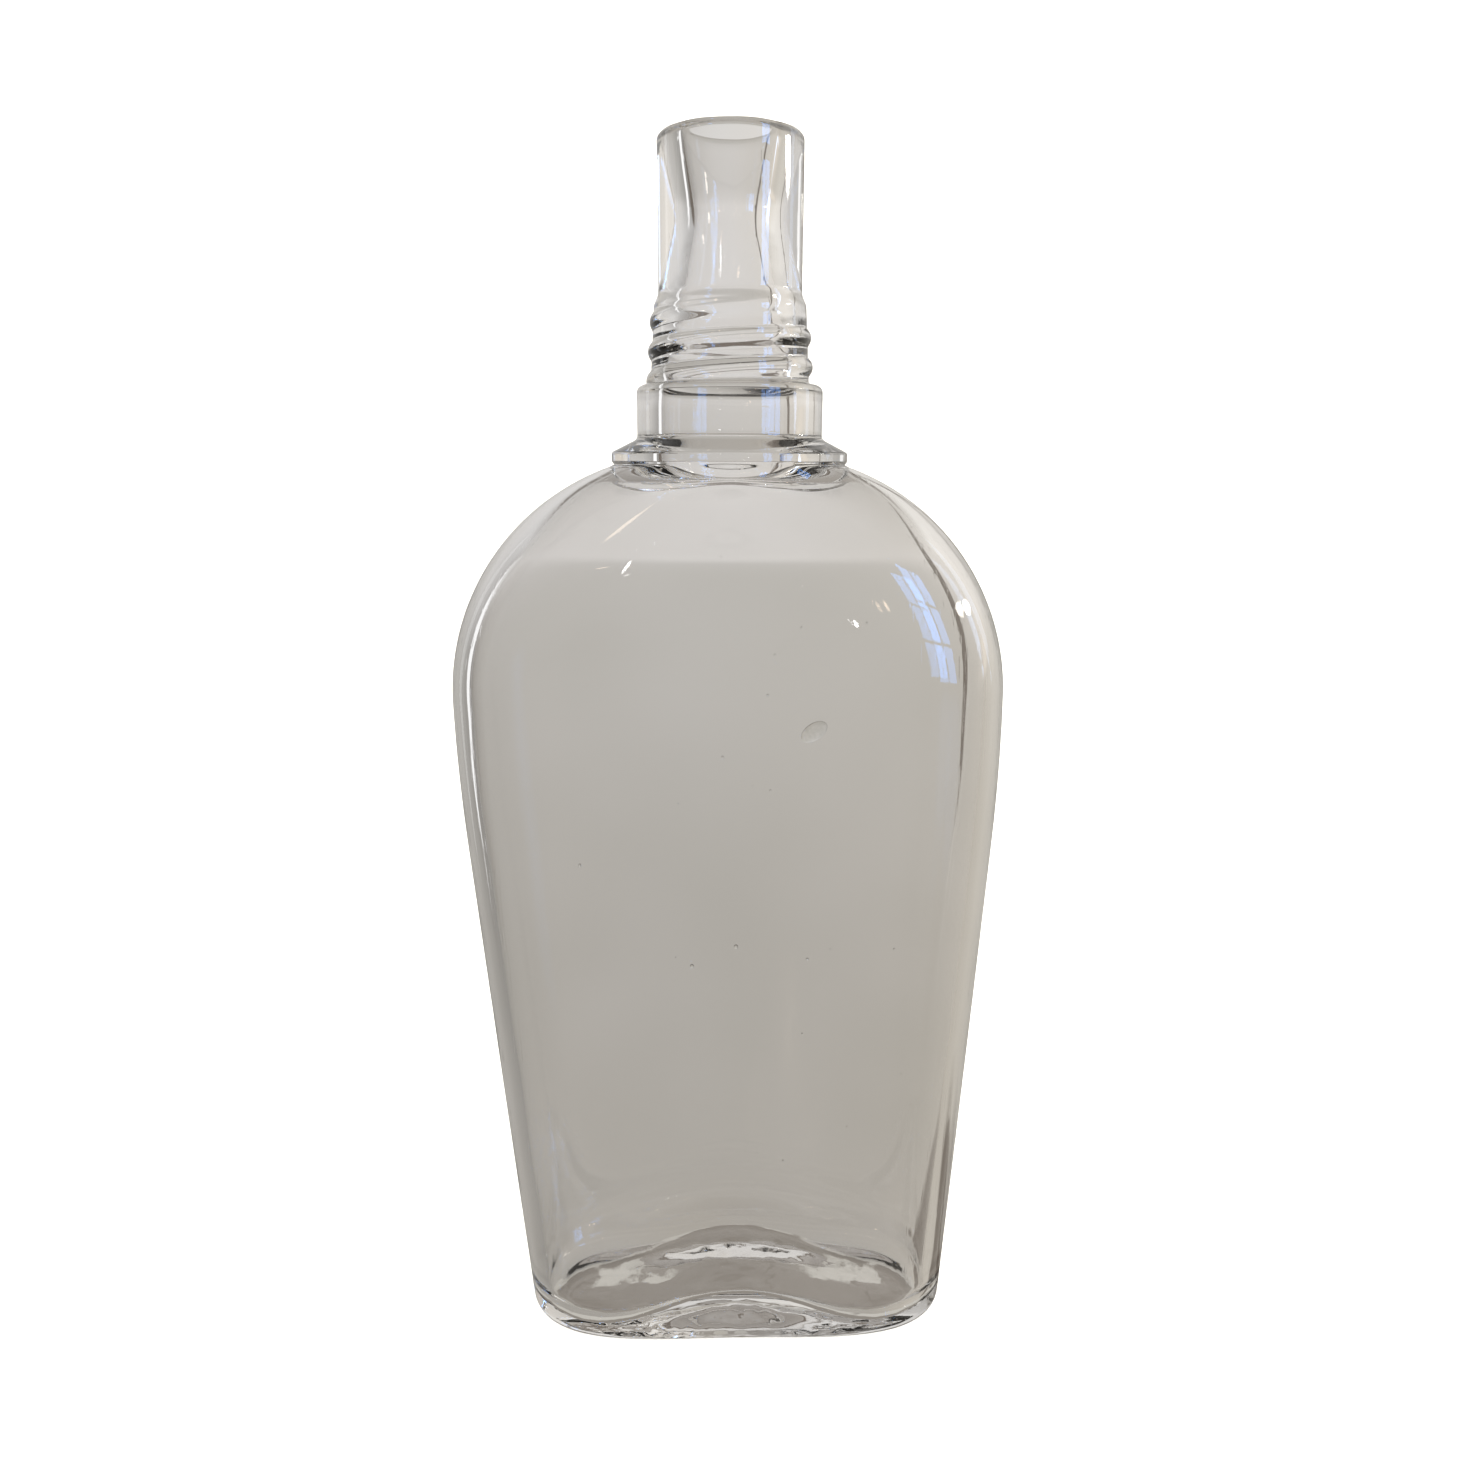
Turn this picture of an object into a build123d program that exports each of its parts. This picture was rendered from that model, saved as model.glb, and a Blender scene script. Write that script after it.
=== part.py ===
from build123d import *
import math
import os

# Clear glass pocket flask: flat front and back, wide round shoulders, a ring flange,
# a plain skirt, a raised right-hand thread and a long plain mouth tube.
# Millimetres. Origin at the middle of the foot, +Z up, +X across the wide side, -Y the front.
#
# The real flask is one moulding. It is divided here at level planes, where the base plate,
# the body mould and the neck ring of a glass mould meet, and the pieces touch face to face.

# ---- heights of the dividing planes ----
BASE_TOP = 12.0
SHOULDER_SPRING = 114.3      # widest level, where the shoulder arc starts
FLANGE_BOTTOM = 151.5
SKIRT_BOTTOM = 156.0
THREAD_BOTTOM = 163.9
TUBE_BOTTOM = 177.6
TOTAL_HEIGHT = 200.0

# ---- outside of the body ----
WIDTH_AT_FOOT = 37.55        # half the width, where the tapered side would meet the floor
SIDE_TAPER = 0.078           # how fast half the width grows with height
TAPER_END = 90.3             # above this the side bends upright
SHOULDER_RADIUS = 39.4
HEEL_RADIUS = 3.2
DEPTH_AT_FOOT = 14.8         # half the depth
DEPTH_AT_SPRING = 18.5
DEPTH_LOSS_AT_NECK = 2.0
SQUARENESS_AT_FOOT = 1.4
SQUARENESS_AT_SPRING = 1.1

# ---- inside of the body ----
SIDE_WALL = 3.0
FACE_WALL = 2.8
CAVITY_TOP = 150.2           # where the cavity's ceiling opens into the neck
NECK_OPENING = 11.0          # half the depth of the cavity at its ceiling
FLOOR_LOW = 3.0              # glass under the low ends of the floor
FLOOR_RISE = 7.5             # how far the floor humps up in the middle
FLOOR_HUMP_REACH = 28.0      # distance from the middle where the hump dies out
DISH_LENGTH, DISH_WIDTH, DISH_DEPTH = 25.0, 8.5, 3.2   # hollow under the foot, half sizes

# ---- neck ----
TUBE_RADIUS = 11.15
LIP_ROUND = 1.0
THROAT_RADIUS = 5.5
THROAT_BOTTOM, THROAT_TOP = 187.0, 192.5
MOUTH_RADIUS = 7.2
TUBE_BORE_BOTTOM = 7.5       # bore radius at the foot of the tube
NECK_BORE = 10.8             # bore radius inside skirt and flange
FLARE_TOP = 153.0            # below this the bore flares into the cavity
FLARE_RADIUS = 11.5          # bore radius where it opens into the cavity
SKIRT_RADIUS = 14.65
SKIRT_ROUND = 1.0
FLANGE_RADIUS = 18.7
FLANGE_RIM_BOTTOM, FLANGE_RIM_TOP = 152.3, 153.9

# ---- screw thread ----
THREAD_PITCH = 4.4
ROOT_RADIUS_BOTTOM, ROOT_RADIUS_TOP = 12.5, 11.85
ROOT_TOP = 175.8             # above this the root eases into the tube
RIDGE_ROUND = 1.75           # radius of the ridge's round section
RIDGE_CREST_BOTTOM = 13.25   # crest radius at the lowest turn
RIDGE_LEAN = 3.0             # degrees that the crests draw in towards the top
RIDGE_START, RIDGE_END = 162.9, 175.5
RIDGE_LEVEL_AT_X = 166.7     # a height at which the ridge crosses the +X side

SECTION_POINTS = 32


def eased(level, top):
    """0 at the foot to 1 at top, rising fast at first and level at the end."""
    share = min(max(level / top, 0.0), 1.0)
    return share * (2 - share)


def shoulder_drop(level, radius):
    """How far an arc of this radius has come in from its widest point at this level."""
    rise = max(level - SHOULDER_SPRING, 0.0)
    return radius - math.sqrt(max(radius**2 - rise**2, 0.0))


def side_line(level):
    """Half the outer width without heel or shoulder: a straight taper that bends upright."""
    bend = SHOULDER_SPRING - TAPER_END
    above = min(max(level - TAPER_END, 0.0), bend)
    straight = WIDTH_AT_FOOT + SIDE_TAPER * min(level, TAPER_END)
    return straight + SIDE_TAPER * (above - above**2 / (2 * bend))


def face_line(level):
    """Half the outer depth without the heel."""
    rise = max(level - SHOULDER_SPRING, 0.0) / (FLANGE_BOTTOM - SHOULDER_SPRING)
    swell = (DEPTH_AT_SPRING - DEPTH_AT_FOOT) * eased(level, SHOULDER_SPRING)
    return DEPTH_AT_FOOT + swell - DEPTH_LOSS_AT_NECK * rise**2


def heel_drop(level):
    """How far the rounded heel is inside the walls at this level."""
    below = max(HEEL_RADIUS - level, 0.0)
    return HEEL_RADIUS - math.sqrt(HEEL_RADIUS**2 - below**2)


def squareness(level):
    """0 is a plain ellipse, 1 has flat faces and round edges, more is squarer still."""
    below = SQUARENESS_AT_FOOT + (SQUARENESS_AT_SPRING - SQUARENESS_AT_FOOT) * min(
        level / SHOULDER_SPRING, 1.0
    )
    rise = max(level - SHOULDER_SPRING, 0.0) / (FLANGE_BOTTOM - SHOULDER_SPRING)
    return below * (1 - rise**2)


def outline(level, half_width, half_depth):
    """A level oval: an ellipse pushed out towards a fourth-power oval by its squareness."""
    points = []
    for step in range(SECTION_POINTS):
        turn = 2 * math.pi * step / SECTION_POINTS
        c, s = math.cos(turn), math.sin(turn)
        fourth = math.sqrt(2 / (s**2 + math.sqrt(s**4 + 4 * c**4)))
        push = 1 + squareness(level) * (fourth - 1)
        points.append((half_width * push * c, half_depth * push * s, level))
    return Face(Wire([Spline(points, periodic=True)]))


def outer_section(level):
    drop = heel_drop(level)
    half_width = side_line(level) - shoulder_drop(level, SHOULDER_RADIUS)
    return outline(level, half_width - drop, face_line(level) - drop)


def inner_section(level):
    """The cavity: one wall inside the body, and a domed ceiling inside the shoulder."""
    radius = SHOULDER_RADIUS - SIDE_WALL
    rise = max(level - SHOULDER_SPRING, 0.0)
    half_width = side_line(level) - SIDE_WALL - shoulder_drop(level, radius)
    half_depth = face_line(min(level, SHOULDER_SPRING)) - FACE_WALL
    dome = math.sqrt(1 - (rise / radius) ** 2)
    return outline(level, half_width, NECK_OPENING + (half_depth - NECK_OPENING) * dome)


def shoulder_levels(radius, top):
    """Levels up the shoulder at equal turns of its arc, so that they crowd near the top."""
    steps = 9
    last = math.asin((top - SHOULDER_SPRING) / radius)
    return [SHOULDER_SPRING + radius * math.sin(last * i / steps) for i in range(steps + 1)]


def turned(points):
    """A solid of revolution about Z from (radius, height) corners."""
    corners = [(radius, 0, height) for radius, height in points]
    return revolve(make_face(Polyline(*corners, close=True)), Axis.Z)


def neck_bore():
    """The hole down the neck, as a solid: mouth, throat, widening tube, neck and flare."""
    above, below = TOTAL_HEIGHT + 1, CAVITY_TOP - 0.5
    lip_radius = MOUTH_RADIUS + LIP_ROUND
    down = (0, 0, -1)
    mouth = Spline(
        (lip_radius, 0, TOTAL_HEIGHT),
        (MOUTH_RADIUS + 0.1, 0, TOTAL_HEIGHT - LIP_ROUND),
        (THROAT_RADIUS, 0, THROAT_TOP),
        tangents=[(-1, 0, 0), down],
    )
    throat = Line(mouth @ 1, (THROAT_RADIUS, 0, THROAT_BOTTOM))
    widening = Spline(
        throat @ 1,
        (TUBE_BORE_BOTTOM, 0, TUBE_BOTTOM),
        (NECK_BORE, 0, THREAD_BOTTOM),
        tangents=[down, down],
    )
    neck = Line(widening @ 1, (NECK_BORE, 0, FLARE_TOP))
    flare = Spline(neck @ 1, (FLARE_RADIUS, 0, below), tangents=[down, (1, 0, -0.6)])
    closing = Polyline(flare @ 1, (0, 0, below), (0, 0, above), (lip_radius, 0, above), mouth @ 0)
    profile = Wire([mouth, throat, widening, neck, flare, *closing.edges()])
    return revolve(make_face(profile), Axis.Z)


def base():
    """Foot and heel, with a hollow underneath and a floor that humps up in the middle."""
    heel_levels = [HEEL_RADIUS * (1 - math.cos(math.radians(a))) for a in range(0, 91, 18)]
    heel = loft([outer_section(level) for level in heel_levels])
    wall = loft([outer_section(level) for level in (HEEL_RADIUS, BASE_TOP)])
    cavity = loft([inner_section(level) for level in (1.0, BASE_TOP)])
    reach, side = FLOOR_HUMP_REACH, WIDTH_AT_FOOT + 5
    hump = []
    for share in (-1, -0.75, -0.5, -0.25, 0, 0.25, 0.5, 0.75, 1):
        hump.append((reach * share, FLOOR_LOW + FLOOR_RISE * (1 + math.cos(math.pi * share)) / 2))
    low_right, high_right = (side, FLOOR_LOW), (side, BASE_TOP)
    low_left, high_left = (-side, FLOOR_LOW), (-side, BASE_TOP)
    sides = Polyline(hump[-1], low_right, high_right, high_left, low_left, hump[0])
    above_floor = Wire([Spline(*hump, tangents=[(1, 0), (1, 0)]), *sides.edges()])
    room = extrude(Plane.XZ * make_face(above_floor), DEPTH_AT_SPRING, both=True)
    dish = scale(Sphere(1), by=(DISH_LENGTH, DISH_WIDTH, DISH_DEPTH))
    return heel + wall - (cavity & room) - dish


def body():
    """The tapered wall, open at both ends."""
    levels = (BASE_TOP, 35, 60, TAPER_END, 103, SHOULDER_SPRING)
    return loft([outer_section(z) for z in levels]) - loft([inner_section(z) for z in levels])


def shoulder(bore):
    outside = loft([outer_section(z) for z in shoulder_levels(SHOULDER_RADIUS, FLANGE_BOTTOM)])
    inside = loft(
        [inner_section(z) for z in shoulder_levels(SHOULDER_RADIUS - SIDE_WALL, CAVITY_TOP)]
    )
    return outside - inside - bore


def shoulder_flange(bore):
    """The ring that stands out at the top of the shoulder, with a sloping upper face."""
    ring = turned([
        (0, FLANGE_BOTTOM),
        (FLANGE_RADIUS - 0.6, FLANGE_BOTTOM),
        (FLANGE_RADIUS, FLANGE_RIM_BOTTOM),
        (FLANGE_RADIUS, FLANGE_RIM_TOP),
        (FLANGE_RADIUS - 0.6, FLANGE_RIM_TOP + 0.5),
        (SKIRT_RADIUS + 1.2, SKIRT_BOTTOM - 0.7),
        (SKIRT_RADIUS, SKIRT_BOTTOM),
        (0, SKIRT_BOTTOM),
    ])
    return ring - bore


def neck_skirt(bore):
    """The plain band between flange and thread that a cap's edge closes over."""
    height = THREAD_BOTTOM - SKIRT_BOTTOM
    band = Pos(0, 0, SKIRT_BOTTOM) * Cylinder(
        SKIRT_RADIUS, height, align=(Align.CENTER, Align.CENTER, Align.MIN)
    )
    top_edge = band.edges().sort_by(Axis.Z)[-1]
    return fillet(top_edge, SKIRT_ROUND) - bore


def thread_ridge():
    """A round bead on a slightly tapered right-hand helix, with ball ends."""
    radius = RIDGE_CREST_BOTTOM - RIDGE_ROUND
    turns_below_x = (RIDGE_START - RIDGE_LEVEL_AT_X) / THREAD_PITCH
    helix = Helix(THREAD_PITCH, RIDGE_END - RIDGE_START, radius, cone_angle=-RIDGE_LEAN)
    path = Pos(0, 0, RIDGE_START) * Rot(0, 0, 360 * turns_below_x) * helix
    bead = sweep(Plane(path @ 0, z_dir=path % 0) * Circle(RIDGE_ROUND), path, is_frenet=True)
    return bead + Pos(path @ 1) * Sphere(RIDGE_ROUND)


def threaded_neck(bore):
    core = turned([
        (0, THREAD_BOTTOM),
        (ROOT_RADIUS_BOTTOM, THREAD_BOTTOM),
        (ROOT_RADIUS_TOP, ROOT_TOP),
        (TUBE_RADIUS + 0.2, TUBE_BOTTOM - 0.6),
        (TUBE_RADIUS, TUBE_BOTTOM),
        (0, TUBE_BOTTOM),
    ])
    height = TUBE_BOTTOM - THREAD_BOTTOM
    zone = Pos(0, 0, THREAD_BOTTOM) * Cylinder(
        FLANGE_RADIUS, height, align=(Align.CENTER, Align.CENTER, Align.MIN)
    )
    return (core + (thread_ridge() & zone)) - bore


def mouth_tube(bore):
    """The plain tube above the thread, with a rounded lip."""
    height = TOTAL_HEIGHT - TUBE_BOTTOM
    tube = Pos(0, 0, TUBE_BOTTOM) * Cylinder(
        TUBE_RADIUS, height, align=(Align.CENTER, Align.CENTER, Align.MIN)
    )
    lip = tube.edges().sort_by(Axis.Z)[-1]
    return fillet(lip, LIP_ROUND) - bore


def main():
    os.makedirs("parts", exist_ok=True)
    bore = neck_bore()
    pieces = {
        "base": base(),
        "body": body(),
        "shoulder": shoulder(bore),
        "shoulder_flange": shoulder_flange(bore),
        "neck_skirt": neck_skirt(bore),
        "threaded_neck": threaded_neck(bore),
        "mouth_tube": mouth_tube(bore),
    }
    for name, piece in pieces.items():
        export_step(piece, f"parts/{name}.step")


main()
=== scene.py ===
import itertools
import math

import bpy
import numpy as np
from mathutils import Matrix, Vector


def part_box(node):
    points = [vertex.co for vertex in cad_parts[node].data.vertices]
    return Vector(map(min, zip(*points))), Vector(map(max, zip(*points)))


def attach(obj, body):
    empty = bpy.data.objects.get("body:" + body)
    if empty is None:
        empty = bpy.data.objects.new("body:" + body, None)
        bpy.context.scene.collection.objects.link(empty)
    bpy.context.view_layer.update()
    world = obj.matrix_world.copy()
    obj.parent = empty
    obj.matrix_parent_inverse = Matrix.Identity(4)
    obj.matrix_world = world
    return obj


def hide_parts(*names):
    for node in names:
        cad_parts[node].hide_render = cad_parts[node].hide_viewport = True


# A clear glass pocket flask: flat faces, wide round shoulders, a ring flange, a plain skirt,
# a raised right-hand thread and a long thick mouth tube, all one moulding.
# Metres. Origin at the middle of the foot, +Z up, +X across the wide side, -Y the front.

bl_info = {
    "name": "Glass Pocket Flask",
    "version": (1, 0, 0),
    "blender": (4, 5, 0),
    "location": "3D View > Sidebar > Flask",
    "description": "Builds a clear glass flask with a screw neck, and a pale stage for it",
    "category": "Add Mesh",
}

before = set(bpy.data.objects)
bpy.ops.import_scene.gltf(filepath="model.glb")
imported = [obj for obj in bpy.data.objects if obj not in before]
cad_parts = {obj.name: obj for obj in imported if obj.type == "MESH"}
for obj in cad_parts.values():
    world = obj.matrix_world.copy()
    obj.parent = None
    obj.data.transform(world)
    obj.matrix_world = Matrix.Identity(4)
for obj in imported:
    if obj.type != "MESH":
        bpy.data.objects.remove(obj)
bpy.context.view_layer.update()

MM = 0.001
GLASS_NODES = (
    "base", "body", "shoulder", "shoulder_flange", "neck_skirt", "threaded_neck", "mouth_tube",
)
COLUMNS = 192                # columns of the glass surface, once round the flask
RIM_ROUND = 0.35 * MM        # round on the flange's lower edge
DOME = 14 * MM               # height over which the cavity closes in to the neck
BORE_FLUTE = 0.12 * MM       # upright unevenness inside the neck, from drawing
TUBE_FLUTE = 0.035 * MM      # the same outside
TABLE_GAP = 0.9 * MM         # the card of painted table shade lies this far under the foot
BUBBLE_IOR = 1.3             # near the glass's own, so that the bubbles stay faint
ROOM_GAIN = 4.0              # makes up for the ramps of the room, which halve it twice
ROOM = 2.0                   # metres from the flask to the windows and lamps
PATCH_STEPS = 8              # squares along each side of a room patch

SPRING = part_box("shoulder")[0].z          # widest level, where the shoulder arc starts
FLANGE_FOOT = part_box("shoulder_flange")[0].z
FLANGE_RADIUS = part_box("shoulder_flange")[1].x
SKIRT_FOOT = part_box("neck_skirt")[0].z
SKIRT_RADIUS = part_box("neck_skirt")[1].x
THREAD_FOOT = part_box("threaded_neck")[0].z
TUBE_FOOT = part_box("mouth_tube")[0].z
TUBE_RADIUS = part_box("mouth_tube")[1].x
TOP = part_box("mouth_tube")[1].z


# ---------------------------------------------------------------- sizes and colours

def size(name, description, millimetres):
    """A length in the sidebar, given here in millimetres and kept in metres."""
    return bpy.props.FloatProperty(
        name=name, description=description, default=millimetres * MM, unit="LENGTH", precision=5
    )


def number(name, description, default):
    return bpy.props.FloatProperty(name=name, description=description, default=default)


def angle(name, description, degrees):
    return bpy.props.FloatProperty(
        name=name, description=description, default=math.radians(degrees), unit="ROTATION"
    )


def linear(hex_colour):
    """sRGB hex to linear: each channel over 12.92 when dark, else ((c + 0.055) / 1.055) ^ 2.4."""
    channels = np.array([int(hex_colour[i:i + 2], 16) / 255 for i in (1, 3, 5)])
    curve = np.where(channels <= 0.04045, channels / 12.92, ((channels + 0.055) / 1.055) ** 2.4)
    return tuple(float(c) for c in curve)


def colour(name, description, hex_colour):
    return bpy.props.FloatVectorProperty(
        name=name, description=description, default=linear(hex_colour), subtype="COLOR", size=3,
        min=0, max=1,
    )


class FlaskBodySizes(bpy.types.PropertyGroup):
    """The flattened body: outside walls, cavity and floor."""

    foot_width: size("Half width at foot", "Where the tapered side would meet the floor", 37.55)
    side_taper: number("Side taper", "Growth of the half width with height", 0.078)
    taper_end: size("Taper end", "Level above which the side bends upright", 90.3)
    shoulder_radius: size("Shoulder radius", "Radius of the shoulder arc, outside", 39.4)
    heel_radius: size("Heel radius", "Round between wall and foot", 3.2)
    foot_depth: size("Half depth at foot", "Half the depth at the foot", 14.8)
    spring_depth: size("Half depth at shoulder", "Half the depth at the widest level", 18.5)
    neck_loss: size("Loss at neck", "How far the faces draw in below the flange", 2.0)
    foot_squareness: number("Squareness at foot", "0 is an ellipse, 1 has flat faces", 1.4)
    spring_squareness: number("Squareness at shoulder", "The same at the widest level", 1.1)
    side_wall: size("Side wall", "Glass thickness at the narrow sides", 3.0)
    face_wall: size("Face wall", "Glass thickness at the front and back", 2.8)
    cavity_top: size("Cavity top", "Level of the cavity's ceiling at the neck", 150.2)
    neck_opening: size("Neck opening", "Half the cavity's depth at its ceiling", 11.0)
    floor_low: size("Floor", "Glass under the low ends of the floor", 2.3)
    floor_rise: size("Floor rise", "How far the floor humps up in the middle", 7.2)
    hump_reach: size("Hump reach", "Distance from the middle where the hump dies out", 27.0)
    floor_length: size("Floor half length", "From the middle of the floor to its end", 30.5)
    floor_width: size("Floor half width", "Half the floor from front to back", 8.4)
    floor_offset: size("Floor offset", "How far the floor lies towards the front", 2.7)
    dish_depth: size("Dish depth", "Depth of the hollow under the foot", 3.2)
    foot_drift: size("Foot drift", "How far the hand-finished foot stands to the +X side", 1.78)
    dish_share: number("Dish share", "How much of the foot the hollow takes up", 0.73)


class FlaskNeckSizes(bpy.types.PropertyGroup):
    """The bore, the ring flange and the screw thread."""

    mouth_radius: size("Mouth radius", "Bore at the lip", 7.2)
    throat_radius: size("Throat radius", "Narrowest part of the bore, where a cork sits", 5.6)
    tube_bore: size("Tube bore", "Bore at the foot of the tube", 7.5)
    neck_bore: size("Neck bore", "Bore inside skirt and flange", 10.8)
    lip_round: size("Lip round", "Fire-polished round of the lip", 0.8)
    root_bottom: size("Root radius, bottom", "Thread root at its lowest turn", 12.45)
    root_top: size("Root radius, top", "Thread root at its highest turn", 11.85)
    pitch: size("Thread pitch", "Rise of the ridge in one turn", 4.4)
    ridge_round: size("Ridge round", "Radius of the ridge's round section", 1.75)
    crest_bottom: size("Crest radius", "Crest of the ridge at its lowest turn", 13.28)
    crest_lean: angle("Crest lean", "How far the crests draw in towards the top", 4.2)
    ridge_start: size("Ridge start", "Level where the ridge leaves the skirt", 162.9)
    ridge_end: size("Ridge end", "Level where the ridge has died out", 176.4)
    ridge_level: size("Ridge level", "Level where the ridge crosses the +X side", 166.7)


class FlaskGlassLook(bpy.types.PropertyGroup):
    """Tint, gloss and flaws of the glass."""

    tint: colour("Tint", "Thickest tint of the clear glass", "#F9F8F7")
    tint_thin: colour("Thin tint", "Palest tint of the clear glass", "#FEFDFD")
    ior: number("IOR", "Soda-lime glass bends light by 1.52", 1.52)
    smear: number("Smear roughness", "Roughness of the dullest smears", 0.012)
    face_wave: size("Face wave", "Height of the waves inside the faces", 0.13)
    outer_wave: size("Outer wave", "Height of the waves outside the faces", 0.03)
    dish_relief: size("Dish relief", "Height of the rough relief under the foot", 0.09)
    seed_count: bpy.props.IntProperty(name="Seeds", description="Loose seeds", default=26, min=0)
    seed_size: size("Seed size", "Half length of a common seed", 0.22)


class FlaskStageLook(bpy.types.PropertyGroup):
    """Stage, room light and camera."""

    floor: colour("Floor", "Paint of floor and backdrop", "#F2F1EF")
    bowl_radius: size("Stage radius", "From the flask to the backdrop", 1600.0)
    key_power: bpy.props.FloatProperty(
        name="Overhead light", description="Power of the soft light", default=62.0, unit="POWER"
    )
    room_strength: number("Room", "Brightness of the room that the glass shows", 1.0)
    camera_place: bpy.props.FloatVectorProperty(
        name="Camera", description="Where the camera stands", subtype="XYZ", unit="LENGTH",
        default=(-0.00441, -0.18961, 0.15242),
    )
    camera_yaw: angle("Yaw", "Turn of the camera towards +X", 1.325)
    camera_pitch: angle("Pitch", "How far the camera looks down", 13.010)
    camera_roll: angle("Roll", "Tilt of the camera", 0.185)
    lens: bpy.props.FloatProperty(
        name="Lens", description="Focal length", default=28.60, unit="CAMERA"
    )


# ---------------------------------------------------------------- surfaces

def side_line(level, body):
    """Half the outer width: a straight taper, then a parabola that bends it upright."""
    bend = SPRING - body.taper_end
    above = np.clip(level - body.taper_end, 0, bend)
    straight = body.foot_width + body.side_taper * np.minimum(level, body.taper_end)
    return straight + body.side_taper * (above - above**2 / (2 * bend))


def face_line(level, body):
    """Half the outer depth: it swells as u (2 - u) up to the shoulder and draws in above it."""
    up = np.clip(level / SPRING, 0, 1)
    rise = np.clip((level - SPRING) / (FLANGE_FOOT - SPRING), 0, 1)
    swell = (body.spring_depth - body.foot_depth) * up * (2 - up)
    return body.foot_depth + swell - body.neck_loss * rise**2


def shoulder_drop(level, radius):
    """How far an arc of this radius has come in at a level: R - sqrt(R^2 - rise^2)."""
    rise = np.clip(level - SPRING, 0, radius)
    return radius - np.sqrt(radius**2 - rise**2)


def squareness(level, body):
    """Straight from foot to shoulder, then falling as 1 - rise^2 to a plain ellipse."""
    up = np.clip(level / SPRING, 0, 1)
    rise = np.clip((level - SPRING) / (FLANGE_FOOT - SPRING), 0, 1)
    below = body.foot_squareness + (body.spring_squareness - body.foot_squareness) * up
    return below * (1 - rise**2)


def column_turns():
    return np.linspace(0, 2 * np.pi, COLUMNS, endpoint=False)[None, :]


def oval(half_width, half_depth, square, turn):
    """An ellipse (a cos t, b sin t), pushed out along its radius towards a fourth-power oval.

    The push is 1 + square (k - 1), with k = sqrt(2 / (sin^2 + sqrt(sin^4 + 4 cos^4))).
    """
    c, s = np.cos(turn), np.sin(turn)
    fourth = np.sqrt(2 / (s**2 + np.sqrt(s**4 + 4 * c**4)))
    push = 1 + square * (fourth - 1)
    return half_width * push * c, half_depth * push * s


def band(half_width, half_depth, square, level):
    """Rows of ovals, one for each level, as a (rows, columns, 3) grid."""
    turn = column_turns()
    rows = [np.asarray(value)[:, None] for value in (half_width, half_depth, square)]
    x, y = oval(*rows, turn)
    return np.stack([x, y, np.broadcast_to(np.asarray(level)[:, None], x.shape)], axis=-1)


def outer_band(level, body, inset=0.0):
    """The outside wall at these levels, drawn in by inset for the rounded heel."""
    half_width = side_line(level, body) - shoulder_drop(level, body.shoulder_radius) - inset
    return band(half_width, face_line(level, body) - inset, squareness(level, body), level)


def inner_sizes(level, body):
    """Half width and depth of the cavity: one wall inside the body, domed under the neck.

    The half width follows the shoulder arc. Over the last 14 mm the half depth closes in to
    the neck opening as 1 - 3 rise^2 + 2 rise^3.
    """
    radius = body.shoulder_radius - body.side_wall
    half_width = side_line(level, body) - body.side_wall - shoulder_drop(level, radius)
    half_depth = face_line(level, body) - body.face_wall
    rise = np.clip((level - body.cavity_top) / DOME + 1, 0, 1)
    dome = 1 - rise**2 * (3 - 2 * rise)
    return half_width, body.neck_opening + (half_depth - body.neck_opening) * dome


def floor_level(x, body):
    """The cavity's floor: flat at its ends, a raised cosine across the middle."""
    share = np.clip(np.abs(x) / body.hump_reach, 0, 1)
    return body.floor_low + body.floor_rise * (1 + np.cos(np.pi * share)) / 2


def underside(body, rows=44):
    """Foot: ovals that grow from the middle, level outside and a raised cosine within the dish."""
    share = np.linspace(0.015, 1, rows, endpoint=False)
    inside = np.clip(share / body.dish_share, 0, 1)
    level = body.dish_depth * (1 + np.cos(np.pi * inside)) / 2
    half_width = (side_line(0.0, body) - body.heel_radius) * share
    half_depth = (body.foot_depth - body.heel_radius) * share
    return band(half_width, half_depth, np.full(rows, body.foot_squareness), level)


def heel(body, rows=9):
    """A quarter round from the foot up to the wall."""
    turn = np.linspace(0, np.pi / 2, rows, endpoint=False)
    inset = body.heel_radius * (1 - np.sin(turn))
    return outer_band(body.heel_radius * (1 - np.cos(turn)), body, inset)


def outer_wall(body, rows=60):
    return outer_band(np.linspace(body.heel_radius, SPRING, rows, endpoint=False), body)


def outer_shoulder(body, rows=52):
    """Rows at equal turns of the shoulder arc, level = spring + R sin(turn).

    Near the top the faces swell out by the square of the height to meet the round flange.
    """
    rim, top = FLANGE_RADIUS - RIM_ROUND, FLANGE_FOOT + RIM_ROUND
    last = math.asin((top - SPRING) / body.shoulder_radius)
    level = SPRING + body.shoulder_radius * np.sin(np.linspace(0, last, rows, endpoint=False))
    cove = np.clip((level - top) / (3.2 * MM) + 1, 0, 1) ** 2
    half_width = side_line(level, body) - shoulder_drop(level, body.shoulder_radius)
    half_depth = face_line(level, body)
    half_depth += (rim - half_depth) * cove
    square = squareness(level, body) * (1 - cove)
    return band(np.maximum(half_width, rim), half_depth, square, level)


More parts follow.
